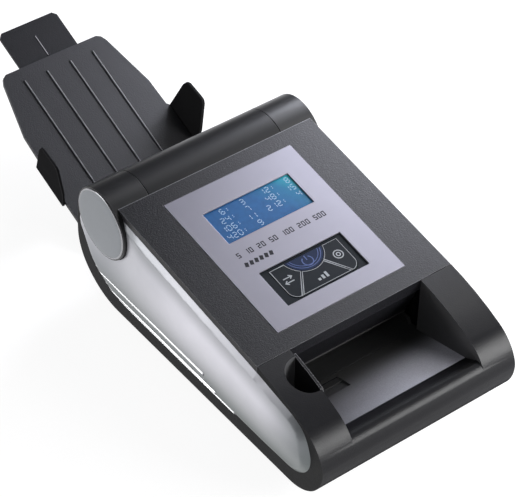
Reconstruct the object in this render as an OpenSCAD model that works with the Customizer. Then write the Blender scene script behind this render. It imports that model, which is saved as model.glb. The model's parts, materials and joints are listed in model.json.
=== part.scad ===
// Counterfeit note detector: a wedge-shaped case with a hinged display lid, a note inlet at the
// front and a sliding catch tray at the back. +X is right seen from the front, +Y is the back.
// Profiles are drawn in (y, z) with y = 0 at the lid's front seam and z = 0 at the case's underside.

/* [Case] */
// Width across the case's side walls
body_w = 128.6; // [126:0.2:132]
// Height of the lid's top face at its front seam
seam_h = 58.4; // [56:0.1:60]
// Slope of the lid's top face in degrees
lid_slope = 8.6; // [8:0.1:9]
// Thickness of the case walls
wall = 2.5; // [2:0.1:3]
// Height of the rubber feet under the case
foot_h = 3; // [2:0.5:5]
// Depth of the lid's side skirts
skirt_h = 3.8; // [3.5:0.1:4]

/* [Note path] */
// Width of the note inlet between its side walls
inlet_w = 87; // [84:0.5:89]
// Height of the level part of the note bed
bed_h = 16; // [15.5:0.1:16.5]
// Gap between the note bed and the guide above it
path_gap = 3.5; // [3:0.1:4]

/* [Hinge barrel] */
// Distance of the hinge axis behind the lid's front seam
hinge_y = 134.1; // [134:0.1:135]
// Height of the hinge axis
hinge_h = 58.8; // [58.5:0.1:59.5]
// Radius of the hinge barrel
barrel_r = 21.5; // [20.5:0.1:21.6]
// Distance between the two seams of the barrel
barrel_seam = 88.3; // [86:0.1:90]
// Width over the barrel's end caps
barrel_w = 136; // [134:0.5:138]
// Radius of the hinge pins
pin_r = 4; // [3:0.5:5]

/* [Display and keys] */
// Width of the label plate
label_w = 84.6; // [82:0.2:88]
// Width of the display window
window_w = 56.8; // [50:0.2:58]
// Width of the key field
keypad_w = 54; // [52:0.5:56]
// Radius of the round power key
power_r = 12.6; // [11:0.1:13]
// Gap round each key
key_gap = 0.3; // [0.2:0.05:0.4]

/* [Drive] */
// Radius of the rubber feed rollers
feed_r = 6; // [5.5:0.1:6.2]
// Radius of the pinch rollers
pinch_r = 5; // [4.5:0.1:5]
// Module of the gears
gear_module = 0.7; // [0.7:0.1:0.7]
// Radial running clearance in the bearings
run_fit = 0.06; // [0.03:0.01:0.1]

/* [Catch tray] */
// Slope of the tray in degrees
tray_slope = 22.4; // [20:0.1:24]
// Width of the tray where its side fences stand
tray_w = 91; // [90:0.5:92]
// Distance from the tray's datum to its far edge
tray_len = 139; // [136:1:140]
// Width of the tray's slide-out extension
extension_w = 40; // [36:1:42]
// How far the extension stands out of the tray
extension_out = 26.7; // [20:0.1:30]
// Thickness of the tray plate
tray_t = 2.4; // [2:0.1:2.6]

/* [Hidden] */
$fn = 64;

// Case outline in the side view. Each arc is [radius, turn in degrees], walked from the lid seam
// forward over the nose to the underside, then from the underside up the rounded back.
nose_arcs = [[150, 16], [27, 45], [14.5, 20.5]];
back_start_y = 124.5;
back_arcs = [[39.5, 45.2], [30.8, 42.6], [87, 17.2]];
side_x = body_w / 2;
inner_x = side_x - wall;
inlet_x = inlet_w / 2;
seam_gap = 0.35;
// Heading of the outline where it leaves the lid's seam towards the nose
seam_heading = 180 + lid_slope;

// Note path: the inlet's floor falls from the foot of the front lip to the level bed
floor_slope = 0.2554;
floor_seam_h = 22.3;
lip_foot = [-38.4, 32.1];
lip_top = [-48.6, 37.2];
bed_level_y = (floor_seam_h - bed_h) / floor_slope;
bed_end_y = 150.5;
bed_t = 1.8;
guide_h = bed_h + path_gap;
cheek_x = inlet_x;
cheek_t = 2;
// Foot line of the walls that stand in the case's rounded back
inner_floor = [[124, 2.7], [128, 3], [140, 6.5], [147, 11], [150, 14.2]];

// Drive train positions
front_shaft = [44, bed_h + 0.4 - feed_r];
rear_shaft = [128, bed_h + 0.4 - feed_r];
front_pinch = [44, bed_h + 0.7 + pinch_r];
rear_pinch = [128, bed_h + 0.7 + pinch_r];
shaft_r = 2;
axle_r = 1.25;
roller_x = [15, 29];
rear_teeth = 18;
idler_teeth = 28;
pinion_teeth = 12;
idler_at = [136.27, 24.22];
motor_at = [148.5, 31];
motor_r = 8.5;
motor_neck_r = 2.9;
gear_x = 50;
gear_t = 4;
pulley_r = 5.5;
stud_r = 1.5;
belt_gap = 0.3;
belt_t = 1.2;
pulley_x = 55.6;

// Latch in each front corner and the DC inlet at the back, seen from above
latch_at = [53, 12];
latch_r = 4;
jack_x = -54;
jack_h = 28;

// Key field, measured up the lid's slope from the seam
keypad_s = [23.2, 48.8];
cluster_s = [24.4, 47.3];
cluster_x = 22.8;
power_s = 49.3;
key_x = 0.8;
ray_angle = 34;
window_s = [72.8, 96.6];
label_s = [12.1, 112.4];
label_t = 1;
label_pocket = 0.7;

// Catch tray: its datum line lies below the back of the case
tray_datum = [155, -6];
tray_hinge = [164.5, 7];
tray_pin_r = 2.5;
tray_start = 20;
kink_at = 99;
kink_x = 43.7;
tip_x = 34.6;
rib_x = [8.1, 23.8];
ext_drop = 0.3;
ext_t = 2;
ext_start = 84;
fence_lean = 8.2;

// Place of the whole: the origin is under the middle of the bounding box, on the floor
nose_front_y = min([for (p = nose_path(0)) p[0]]);
tray_end_y = tray_datum[0] + (tray_len + extension_out) * cos(tray_slope)
    + (tray_t + ext_drop + ext_t) * sin(tray_slope);
mid_y = (nose_front_y + tray_end_y) / 2;

// ---- Functions ----

function lid_z(y) = seam_h + y * tan(lid_slope);
function floor_z(y) = max(bed_h, floor_seam_h - floor_slope * y);
function left_of(h) = [-sin(h), cos(h)];
function arc_end(p, h, r, turn) = p + r * left_of(h) - r * left_of(h + turn);
function arc_points(p, h, r, turn) =
    let (n = ceil(turn / 5))
    [for (k = [1:n]) arc_end(p, h, r, turn * k / n)];
function walk(p, h, arcs, inset, i = 0) = i >= len(arcs) ? [] :
    let (r = arcs[i][0] - inset, turn = arcs[i][1])
    concat(arc_points(p, h, r, turn), walk(arc_end(p, h, r, turn), h + turn, arcs, inset, i + 1));
function total_turn(arcs, i = 0) = i >= len(arcs) ? 0 : arcs[i][1] + total_turn(arcs, i + 1);
// The last nose arc is tangent to the underside, so its radius follows from the height left
function closed_arcs(start, h, arcs, floor_h) =
    let (p = last_of(concat([start], walk(start, h, arcs, 0))), h2 = h + total_turn(arcs))
    concat(arcs, [[(p[1] - floor_h) / (1 - cos(h2)), 360 - h2]]);
function last_of(v) = v[len(v) - 1];
function nose_path(inset) =
    let (start = [0, seam_h], p = start + inset * left_of(seam_heading))
    concat([p], walk(p, seam_heading, closed_arcs(start, seam_heading, nose_arcs, 0), inset));
function back_path(inset) =
    let (p = [back_start_y, inset])
    concat([p], walk(p, 0, back_arcs, inset));
// Angle that puts a gear in mesh with the gear at the other end of the line of centres
function mesh_phase(teeth_a, phase_a, line, teeth_b) =
    let (f = (line - phase_a) * teeth_a / 360)
    line + 180 + (f - floor(f) + 0.5) * 360 / teeth_b;
function line_angle(a, b) = atan2(b[1] - a[1], b[0] - a[0]);

// ---- Helpers ----

// Moves the whole from the profile coordinates to the part's own frame
module place() translate([0, -mid_y, foot_h]) children();
// Extrudes a (y, z) profile from x0 to x1
module along_x(x0, x1) translate([x0, 0, 0]) rotate([90, 0, 90]) linear_extrude(x1 - x0) children();
// A round bar along X at a (y, z) point
module bar_x(at, r, x0, x1) along_x(x0, x1) translate(at) circle(r);
module both_sides() for (side = [0, 1]) mirror([side, 0, 0]) children();
// The lid's own plane: x, distance up the slope, height above the top face
module on_lid() translate([0, 0, seam_h]) rotate([lid_slope, 0, 0]) children();
// The tray's own plane: x, distance from its datum, height above its top face
module on_tray() translate([0, tray_datum[0], tray_datum[1]]) rotate([tray_slope, 0, 0]) children();
module slab(x0, x1, s0, s1, h0, h1) translate([x0, s0, h0]) cube([x1 - x0, s1 - s0, h1 - h0]);

// ---- Profiles in (y, z) ----

module case_outline(inset = 0) polygon(concat(nose_path(inset), back_path(inset),
    [[hinge_y, hinge_h + barrel_r], [100, lid_z(100)]]));

// Everything above the joint between lid and case, behind the seam
module above_parting(drop) polygon([[0, seam_h - drop], [0, 120], [200, 120],
    [200, lid_z(200) - drop]]);

// The open pocket of the note inlet, down to its floor and over the front lip
module inlet_pocket() polygon([[-60, 33.2], [-53.5, 33.6], [-50.8, 36.4], lip_top, [-46.2, 36.6],
    [-40.6, 33.2], lip_foot, [4, floor_z(4)], [4, 80], [-60, 80]]);

module under_floor() polygon([[-80, -20], [-80, 26], [-49, 34.2], [-46.5, 34.6],
    [-39.2, 30], [0.1, floor_seam_h - 2.2], [0.1, -20]]);

module side_panel_outline() {
    panel_arcs = [[385, 4.5], [17.8, 50], [38.3, 11.5]];
    start = [0, seam_h - 4.2];
    intersection() {
        polygon(concat([start], walk(start, seam_heading,
            closed_arcs(start, seam_heading, panel_arcs, 10), 0),
            [[114.5, 10]], walk([114.5, 10], 0, [[42.4, 59.3]], 0),
            [[158, 41.9], [159, 46], [157.5, 52], [140, 70], [124, lid_z(124) - 4.2]]));
        case_outline(2.2);
    }
}

module barrel_clearance() bar_x([hinge_y, hinge_h], barrel_r + 0.4, -80, 80);

// ---- Case ----

module base_shell() color([0.05, 0.05, 0.06]) place() {
    difference() {
        union() {
            difference() {
                along_x(-side_x, side_x) case_outline();
                // Hollow behind the bulkhead, then the hollows of the nose
                along_x(-inner_x, inner_x) intersection() {
                    case_outline(wall);
                    translate([0.1, -20]) square([180, 140]);
                }
                both_sides() along_x(inlet_x + wall, inner_x) intersection() {
                    case_outline(wall);
                    translate([-60, 0]) square([60 - wall, 80]);
                }
                along_x(-inlet_x - 0.1, inlet_x + 0.1) intersection() {
                    case_outline(wall);
                    under_floor();
                }
                along_x(-side_x - 1, side_x + 1) above_parting(skirt_h + seam_gap);
            }
            finger_scoop_wall();
            both_sides() magnet_post();
            both_sides() tray_lug();
        }
        along_x(-inlet_x, inlet_x) inlet_pocket();
        finger_scoop();
        guide_channel();
        barrel_clearance();
        both_sides() along_x(side_x - 1.5, side_x + 1) side_panel_outline();
        slab(-53, 53, -28, 124, -1, wall + 1);
        slab(-56, 56, -31, 124.4, -1, 1.6);
        slab(-inlet_x, inlet_x, 140, 175, bed_h - 0.1, bed_h + 7);
        translate([jack_x, 140, jack_h]) rotate([-90, 0, 0]) cylinder(r = 4.6, h = 30);
        bar_x(tray_hinge, tray_pin_r, -60, 60);
    }
}

// Half-bowl in the left inlet wall, for a finger to reach the note-width guide
module finger_scoop() translate([-45, -15.5, 27]) rotate_extrude()
    polygon([[0, 0], [4, 0], [7.6, 2.4], [10, 6], [11, 11], [11, 60], [0, 60]]);

module finger_scoop_wall() intersection() {
    translate([-45, -15.5, 22]) cylinder(r = 13.4, h = 60);
    along_x(-side_x + 1, -inlet_x) case_outline();
}

// Cross slot in the inlet's floor, in which the note-width guide's foot slides
module guide_channel() translate([0, 0, floor_seam_h]) rotate([-atan(floor_slope), 0, 0])
    slab(-inlet_x - 0.4, -13, -14.2, -3, -1.3, 0.3);

module magnet_post() translate([latch_at[0], latch_at[1], wall - 0.5])
    cylinder(r = latch_r, h = 51.5 - wall);

// Ear at the back of the case that carries one of the tray's pivot pins
module tray_lug() along_x(30, 36) {
    translate(tray_hinge) circle(4);
    polygon([[145, 5.2], [153, 13.4], [165.4, 10.9], [164.5, 3]]);
}

module base_plate() color([0.06, 0.06, 0.065]) place() difference() {
    union() {
        slab(-55.7, 55.7, -30.7, 124.1, 0, 1.5);
        // Stand-offs under the main board
        both_sides() for (y = [60, 114]) translate([36, y, 0]) cylinder(r = 3, h = 4);
    }
    for (y = [20:8:108]) slab(-20, 20, y, y + 3, -1, 3);
    base_corners() cylinder(r = 1.7, h = 10, center = true);
}

module base_corners() both_sides() for (y = [-22, 116]) translate([48, y, 0]) children();

module base_screws() color("silver") place() base_corners() {
    translate([0, 0, -0.9]) cylinder(r = 3, h = 0.9);
    cylinder(r = 1.5, h = 8);
}

module rubber_feet() color([0.03, 0.03, 0.03]) place()
    both_sides() for (y = [-14, 104]) translate([42, y, -foot_h]) {
        cylinder(r1 = 6.4, r2 = 7, h = foot_h);
    }

module side_panel() difference() {
    along_x(side_x - 1.5, side_x + 0.7) side_panel_outline();
    barrel_clearance();
}
module side_panel_left() color([0.72, 0.72, 0.78]) place() mirror([1, 0, 0]) side_panel();
module side_panel_right() color([0.72, 0.72, 0.78]) place() side_panel();

// Three bright ledges that widen towards the front, [height, back end, front end]
strips = [[21.2, 143.4, 41.4], [14.8, 134.5, 31.6], [11, 122, 16.8]];
module trim_strips() for (s = strips) along_x(side_x + 0.7, side_x + 1.4)
    polygon([[s[1], s[0]], [s[2], s[0] + 0.8], [s[2] - 0.6, s[0]], [s[2], s[0] - 0.8]]);
module trim_strips_left() color("white") place() mirror([1, 0, 0]) trim_strips();
module trim_strips_right() color("white") place() trim_strips();

// ---- Hinge barrel ----

module barrel_end() {
    seam_x = barrel_seam / 2 + 0.2;
    difference() {
        bar_x([hinge_y, hinge_h], barrel_r, seam_x, barrel_w / 2 - 1);
        bar_x([hinge_y, hinge_h], barrel_r - wall, seam_x + 3.2, barrel_w);
        bar_x([hinge_y, hinge_h], pin_r, 0, barrel_w);
    }
    difference() {
        along_x(cheek_x + cheek_t + 0.7, cheek_x + cheek_t + 3.2)
            polygon(concat(inner_floor, [[150, 44], [144, 42.6], [124, 42.6], [120, 30],
                [120, wall + 0.1]]));
        bar_x([hinge_y, hinge_h], barrel_r - 0.6, 0, 80);
        bar_x(rear_shaft, shaft_r + 1.2, 0, 80);
        bar_x(motor_at, 2.6, 0, 80);
    }
}

module barrel_end_left() color([0.04, 0.04, 0.045]) place() mirror([1, 0, 0]) barrel_end();

module barrel_end_right() color([0.04, 0.04, 0.045]) place() {
    barrel_end();
    // Stud for the idler gear
    bar_x(idler_at, stud_r, cheek_x + cheek_t + 3.1, gear_x + gear_t + 0.6);
}

module end_cap() {
    bar_x([hinge_y, hinge_h], barrel_r - 0.9, barrel_w / 2 - 1, barrel_w / 2);
    difference() {
        bar_x([hinge_y, hinge_h], barrel_r - wall, barrel_w / 2 - 6, barrel_w / 2 - 1);
        bar_x([hinge_y, hinge_h], barrel_r - wall - 2, barrel_w / 2 - 7, barrel_w / 2 - 1);
    }
}
module end_cap_left() color([0.7, 0.72, 0.75]) place() mirror([1, 0, 0]) end_cap();
module end_cap_right() color([0.7, 0.72, 0.75]) place() end_cap();

module hinge_pin() {
    inner_face = barrel_seam / 2 + 3.4;
    bar_x([hinge_y, hinge_h], pin_r, barrel_seam / 2 - 7, inner_face);
    bar_x([hinge_y, hinge_h], pin_r + 2.5, inner_face, inner_face + 2);
}
module hinge_pin_left() color("silver") place() mirror([1, 0, 0]) hinge_pin();
module hinge_pin_right() color("silver") place() hinge_pin();

// ---- Inside the case ----

module bed_profile() polygon([[0.3, floor_z(0.3)], [bed_level_y, bed_h], [bed_end_y - 2, bed_h],
    [bed_end_y, bed_h - 0.6], [bed_end_y, bed_h - bed_t], [bed_level_y - 0.3, bed_h - bed_t],
    [0.3, floor_z(0.3) - bed_t]]);

module roller_windows(y, h) both_sides()
    slab(roller_x[0] - 0.8, roller_x[1] + 0.8, y - 7, y + 7, h - 3, h + 3);

module note_bed() color([0.12, 0.12, 0.13]) place() difference() {
    union() {
        along_x(-cheek_x - cheek_t, cheek_x + cheek_t) bed_profile();
        both_sides() along_x(cheek_x, cheek_x + cheek_t) polygon(concat(inner_floor,
            [[150, 24], [8, 24], [6, 20], [6, wall + 0.1]]));
    }
    roller_windows(front_shaft[0], bed_h);
    roller_windows(rear_shaft[0], bed_h);
    slab(-36, 36, 80.6, 89.4, bed_h - 3, bed_h + 1);
    for (at = [front_shaft, rear_shaft]) bar_x(at, 3.55, -80, 80);
}

module channel_rail() color([0.1, 0.1, 0.11]) place() translate([0, 0, floor_seam_h])
    rotate([-atan(floor_slope), 0, 0]) slab(-inlet_x + 0.2, -13.2, -7.4, -3.2, -1.3, -0.35);

module main_board() color([0.05, 0.25, 0.12]) place() {
    slab(-40, 40, 56, 118, 4, 5.6);
    slab(-12, 4, 92, 108, 5.6, 7.4);
    slab(12, 24, 94, 106, 5.6, 7.6);
    slab(-36, -24, 92, 98, 5.6, 9.6);
    for (x = [-30:10:30]) translate([x, 74, 5.6]) cylinder(r = 3, h = 6.5);
}

module lower_sensor_bar() color([0.2, 0.2, 0.22]) place() {
    slab(-35.7, 35.7, 80.9, 89.1, 5.6, bed_h - 0.3);
}

module dc_jack() color([0.03, 0.03, 0.03]) place() difference() {
    union() {
        slab(jack_x - 5, jack_x + 4.8, 143, 156, jack_h - 6, jack_h + 6);
        translate([jack_x, 155.9, jack_h]) rotate([-90, 0, 0]) cylinder(r = 4.4, h = 5.3);
    }
    translate([jack_x, 151.5, jack_h]) rotate([-90, 0, 0]) cylinder(r = 2.8, h = 20);
}

module drive_motor() color([0.7, 0.7, 0.72]) place() {
    bar_x(motor_at, motor_r, 10, 38);
    bar_x(motor_at, 3, 8, 10);
    bar_x(motor_at, motor_neck_r, 38, 39.8);
}

module motor_bracket() color("silver") place() difference() {
    along_x(38, 39.6) {
        translate(motor_at) circle(motor_r);
        polygon([[141, guide_h + 2], [156, guide_h + 2], [156.5, 31], [140.5, 31]]);
    }
    bar_x(motor_at, motor_neck_r + 0.05, 0, 80);
}

module shaft_bushes() color([0.72, 0.55, 0.3]) place() both_sides()
    for (at = [front_shaft, rear_shaft]) difference() {
        bar_x(at, 3.5, cheek_x - 0.2, cheek_x + cheek_t + 0.3);
        bar_x(at, shaft_r + run_fit, 0, 80);
    }

module belt_loop(r) {
    translate(front_shaft) circle(r);
    translate(rear_shaft) circle(r);
    translate([front_shaft[0], front_shaft[1] - r]) square([rear_shaft[0] - front_shaft[0], 2 * r]);
}

module drive_belt() color([0.04, 0.04, 0.04]) place() along_x(pulley_x + 0.3, pulley_x + 3.7)
    difference() {
        belt_loop(pulley_r + belt_gap + belt_t);
        belt_loop(pulley_r + belt_gap);
    }

module pinch_post(at, x0, x1) difference() {
    along_x(x0, x1) translate([at[0] - 2.6, guide_h + bed_t]) square([5.2, at[1] - guide_h + 1.2]);
    bar_x(at, axle_r + run_fit, 0, 80);
}

module rear_guide() color([0.1, 0.1, 0.11]) place() {
    difference() {
        union() {
            slab(-42.8, 42.8, 119.5, 151, guide_h, guide_h + 2);
            both_sides() slab(40.6, 42.8, 119.5, 137, guide_h + 1, guide_h + 5);
        }
        roller_windows(rear_pinch[0], guide_h);
        bar_x(rear_pinch, axle_r + 0.4, -36, 36);
    }
    both_sides() pinch_post(rear_pinch, 31, 34);
}

module latch_magnets() color("silver") place() both_sides()
    translate([latch_at[0], latch_at[1], 51]) cylinder(r = latch_r, h = 3);

module tray_pins() color("silver") place() both_sides() bar_x(tray_hinge, tray_pin_r, 29, 43);

// ---- Note-width guide ----

module note_guide() color([0.08, 0.08, 0.09]) place() {
    along_x(-inlet_x + 0.15, -inlet_x + 1.75) polygon([[-26, 30.2], [-26.4, 48.6], [-25, 50.8],
        [-14, 54.4], [-2.6, 57.2], [-2.6, floor_z(-2.6) + 0.4], [-13, floor_z(-13) + 0.4]]);
    translate([0, 0, floor_seam_h]) rotate([-atan(floor_slope), 0, 0])
        slab(-inlet_x + 0.4, -inlet_x + 8.4, -13.8, -7.8, -1, 3);
}

// ---- Lid ----

module lid_cover() color([0.12, 0.12, 0.14]) place() difference() {
    union() {
        difference() {
            union() {
                along_x(-side_x, side_x) polygon([[0.3, lid_z(0.3)], [0.3, lid_z(0.3) - wall],
                    [124, lid_z(124) - wall - 0.1], [124, lid_z(124)]]);
                both_sides() along_x(inner_x + 0.1, side_x) polygon([[0.3, lid_z(0.3)],
                    [0.3, lid_z(0.3) - skirt_h], [124, lid_z(124) - skirt_h], [124, lid_z(124)]]);
                along_x(-inner_x + 0.3, inner_x - 0.3) translate([0.3, 51.8]) square([2.3, 5]);
                along_x(-41.4, 41.4) polygon([[0.3, 56], [0.3, 51.8], [8.6, 31.2], [11, 31.2],
                    [2.6, 52.4], [2.6, 56]]);
                both_sides() translate([latch_at[0], latch_at[1], 56])
                    cylinder(r = latch_r + 0.2, h = 3);
                intersection() {
                    lid_posts() cylinder(r = 3, h = 60);
                    along_x(-60, 60) polygon([[0, 0], [124, 0], [124, lid_z(124) - 1],
                        [0, lid_z(0) - 1]]);
                }
                on_lid() board_bosses() cylinder(r = 2, h = 7);
            }
            barrel_clearance();
        }
        along_x(-barrel_seam / 2 + 0.2, barrel_seam / 2 - 0.2) {
            difference() {
                translate([hinge_y, hinge_h]) circle(barrel_r);
                translate([hinge_y, hinge_h]) circle(barrel_r - 3);
            }
            polygon([[113, lid_z(113) - 0.6], [113, lid_z(113) - wall], [118.5, 70], [124, lid_z(124) - 1]]);
        }
        both_sides() bar_x([hinge_y, hinge_h], barrel_r, barrel_seam / 2 - 4.2, barrel_seam / 2 - 0.2);
    }
    bar_x([hinge_y, hinge_h], pin_r + run_fit, -60, 60);
    on_lid() {
        slab(-label_w / 2 - 0.2, label_w / 2 + 0.2, label_s[0] - 0.2, label_s[1] + 0.2,
            -label_pocket, 5);
        slab(-window_w / 2 - 1, window_w / 2 + 1, window_s[0] - 1, window_s[1] + 1, -5, 5);
        slab(-keypad_w / 2 - 1, keypad_w / 2 + 1, keypad_s[0] - 1, keypad_s[1] + 1, -5, 5);
    }
    lid_posts() translate([0, 0, -1]) cylinder(r = 1.2, h = 8);
}

module board_bosses() both_sides() for (s = [21.5, 62, 106]) translate([30.5, s, -8]) children();

module lid_posts() both_sides() for (y = [30, 104]) translate([37, y, guide_h + bed_t]) children();

module label_plate() color([0.62, 0.62, 0.68]) place() on_lid() difference() {
    slab(-label_w / 2, label_w / 2, label_s[0], label_s[1], -label_pocket, label_t - label_pocket);
    slab(-window_w / 2, window_w / 2, window_s[0], window_s[1], -5, 5);
    slab(-keypad_w / 2, keypad_w / 2, keypad_s[0], keypad_s[1], -5, 5);
}

module display_window() color([0.05, 0.35, 0.7, 0.6]) place() on_lid()
    slab(-window_w / 2 - 0.8, window_w / 2 + 0.8, window_s[0] - 0.8, window_s[1] + 0.8, -1.9, -0.7);

module display_module() color([0.1, 0.12, 0.14]) place() on_lid()
    slab(-31, 31, window_s[0] - 3, window_s[1] + 3, -8, -2.7);

module lid_board() color([0.05, 0.25, 0.12]) place() on_lid() {
    slab(-33.6, 33.6, 19, 108, -9.6, -8);
    for (at = [[key_x - 17, 36], [key_x, 30.5], [key_x + 17, 36], [key_x, 42.5]])
        slab(at[0] - 3, at[0] + 3, at[1] - 2.5, at[1] + 2.5, -8, -5.4);
}

module cluster_outline(grow) {
    low = cluster_s[0] - grow;
    high = cluster_s[1] + grow;
    r = 6;
    difference() {
        translate([key_x - cluster_x - grow, low]) square([2 * (cluster_x + grow), high - low]);
        for (side = [-1, 1]) translate([key_x + side * (cluster_x + grow - r), low + r]) difference() {
            translate([side > 0 ? 0 : -r - 1, -r - 1]) square(r + 1);
            circle(r);
        }
    }
}

module key_sector(a0, a1) translate([key_x, power_s])
    polygon([[0, 0], 90 * [sin(a0), -cos(a0)], 90 * [sin((a0 + a1) / 2), -cos((a0 + a1) / 2)],
        90 * [sin(a1), -cos(a1)]]);

module keypad_frame() color([0.13, 0.14, 0.17]) place() on_lid() translate([0, 0, -2.4])
    linear_extrude(1.7) difference() {
        translate([-keypad_w / 2 - 0.8, keypad_s[0] - 0.8])
            square([keypad_w + 1.6, keypad_s[1] - keypad_s[0] + 1.6]);
        cluster_outline(0);
    }

// A key: the part of the cluster between two rays from the power key, and a flange below
module outer_key(a0, a1, shift_x, flange) color([0.13, 0.14, 0.17]) place() on_lid() {
    translate([0, 0, -3.2]) linear_extrude(2.7) intersection() {
        cluster_outline(-key_gap);
        difference() {
            translate([shift_x, 0]) key_sector(a0, a1);
            translate([key_x, power_s]) circle(power_r + key_gap / 2);
        }
    }
    slab(key_x + flange[0], key_x + flange[1], flange[2], flange[3], -4.2, -3.2);
}
module key_left() outer_key(-120, -ray_angle, -key_gap * 0.7, [-24.2, -15.5, 31, 45]);
module key_middle() outer_key(-ray_angle, ray_angle, 0, [-8, 8, 23.2, 33.5]);
module key_right() outer_key(ray_angle, 120, key_gap * 0.7, [15.5, 24.2, 31, 45]);

module key_power() color([0.08, 0.2, 0.55]) place() on_lid() {
    translate([0, 0, -3.2]) linear_extrude(2.7) intersection() {
        cluster_outline(-key_gap);
        translate([key_x, power_s]) circle(power_r - key_gap / 2);
    }
    slab(key_x - 8, key_x + 8, 40, 48.6, -4.2, -3.2);
}

module lid_guide() color([0.1, 0.1, 0.11]) place() {
    difference() {
        union() {
            along_x(-42.6, 42.6) polygon([[9, 29.4], [23.5, guide_h], [116, guide_h],
                [116, guide_h + bed_t], [24, guide_h + bed_t], [10, 31]]);
            both_sides() along_x(40.8, 42.6) polygon([[10, 29], [24, guide_h], [116, guide_h],
                [116, guide_h + 6], [24, guide_h + 6], [12, 31]]);
        }
        roller_windows(front_pinch[0], guide_h);
        bar_x(front_pinch, axle_r + 0.4, -36, 36);
        slab(-34.3, 34.3, 66.2, 73.8, guide_h - 2, guide_h + 3);
        slab(-36, 36, 80.6, 89.4, guide_h - 2, guide_h + 3);
        lid_posts() translate([0, 0, -5]) cylinder(r = 1.7, h = 10);
    }
    both_sides() pinch_post(front_pinch, 31, 34);
}

module magnetic_heads() color([0.6, 0.6, 0.62]) place() {
    slab(-34, 34, 66.5, 73.5, guide_h + 0.1, guide_h + 11);
    slab(-38, 38, 67.5, 72.5, guide_h + bed_t, guide_h + bed_t + 2);
    for (x = [-27:9:27]) bar_x([70, guide_h + 1.6], 1.9, x - 3, x + 3);
}

module upper_sensor_bar() color([0.2, 0.2, 0.22]) place() {
    slab(-35.7, 35.7, 80.9, 89.1, guide_h + 0.2, guide_h + 8);
    slab(-39, 39, 82, 88, guide_h + bed_t, guide_h + bed_t + 2);
}

module strike_plates() color("silver") place() both_sides()
    translate([latch_at[0], latch_at[1], 54.4]) cylinder(r = latch_r + 0.2, h = 1.6);

module lid_screws() color("silver") place() lid_posts() translate([0, 0, -bed_t]) {
    translate([0, 0, -0.8]) cylinder(r = 2.4, h = 0.8);
    cylinder(r = 1.15, h = bed_t + 5);
}

// ---- Drive train ----

module feed_shaft(at) color("silver") place() {
    bar_x(at, shaft_r, -49, pulley_x + 4.6);
    difference() {
        bar_x(at, pulley_r, pulley_x, pulley_x + 4);
        bar_x(at, shaft_r - 0.5, 0, 80);
    }
}

module feed_rollers(at) color([0.25, 0.25, 0.26]) place() both_sides() difference() {
    bar_x(at, feed_r, roller_x[0], roller_x[1]);
    bar_x(at, shaft_r, 0, 80);
}

module front_feed_shaft() feed_shaft(front_shaft);
module rear_feed_shaft() feed_shaft(rear_shaft);
module front_feed_rollers() feed_rollers(front_shaft);
module rear_feed_rollers() feed_rollers(rear_shaft);

module gear_outline(teeth, phase) {
    r = gear_module * teeth / 2;
    pitch = 360 / teeth;
    root = r - 1.15 * gear_module;
    tip = r + 0.8 * gear_module;
    polygon([for (k = [0:teeth - 1]) for (c = [[root, -0.29], [r, -0.2], [tip, -0.1], [tip, 0.1],
        [r, 0.2], [root, 0.29]]) c[0] * [cos(phase + (k + c[1]) * pitch), sin(phase + (k + c[1]) * pitch)]]);
}

rear_phase = line_angle(rear_shaft, idler_at);
idler_phase = mesh_phase(rear_teeth, rear_phase, rear_phase, idler_teeth);
pinion_phase = mesh_phase(idler_teeth, idler_phase, line_angle(idler_at, motor_at), pinion_teeth);

module gear(at, teeth, phase, bore) difference() {
    along_x(gear_x, gear_x + gear_t) translate(at) gear_outline(teeth, phase);
    bar_x(at, bore, 0, 80);
}

module rear_shaft_gear() color("ivory") place() gear(rear_shaft, rear_teeth, rear_phase, shaft_r);
module idler_gear() color("ivory") place() gear(idler_at, idler_teeth, idler_phase, stud_r + run_fit);
module motor_pinion() color([0.7, 0.6, 0.3]) place() {
    gear(motor_at, pinion_teeth, pinion_phase, 1);
    bar_x(motor_at, 1, 41, gear_x + gear_t);
}

module pinch_axle(at) color("silver") place() bar_x(at, axle_r, -35, 35);
module pinch_rollers(at) color([0.3, 0.3, 0.31]) place() both_sides() difference() {
    bar_x(at, pinch_r, roller_x[0] + 0.3, roller_x[1] - 0.3);
    bar_x(at, axle_r, 0, 80);
}
module front_pinch_axle() pinch_axle(front_pinch);
module front_pinch_rollers() pinch_rollers(front_pinch);
module rear_pinch_axle() pinch_axle(rear_pinch);
module rear_pinch_rollers() pinch_rollers(rear_pinch);

// ---- Catch tray ----

module tray_outline() {
    root_x = tray_w / 2;
    polygon([[root_x, tray_start], [root_x, 80], [kink_x + 0.6, 81], [kink_x, kink_at],
        [tip_x + 1.3, tray_len - 5], [tip_x - 0.4, tray_len - 1.6], [tip_x - 3, tray_len],
        [-tip_x + 3, tray_len], [-tip_x + 0.4, tray_len - 1.6], [-tip_x - 1.3, tray_len - 5],
        [-kink_x, kink_at], [-kink_x - 0.6, 81], [-root_x, 80], [-root_x, tray_start]]);
}

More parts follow.
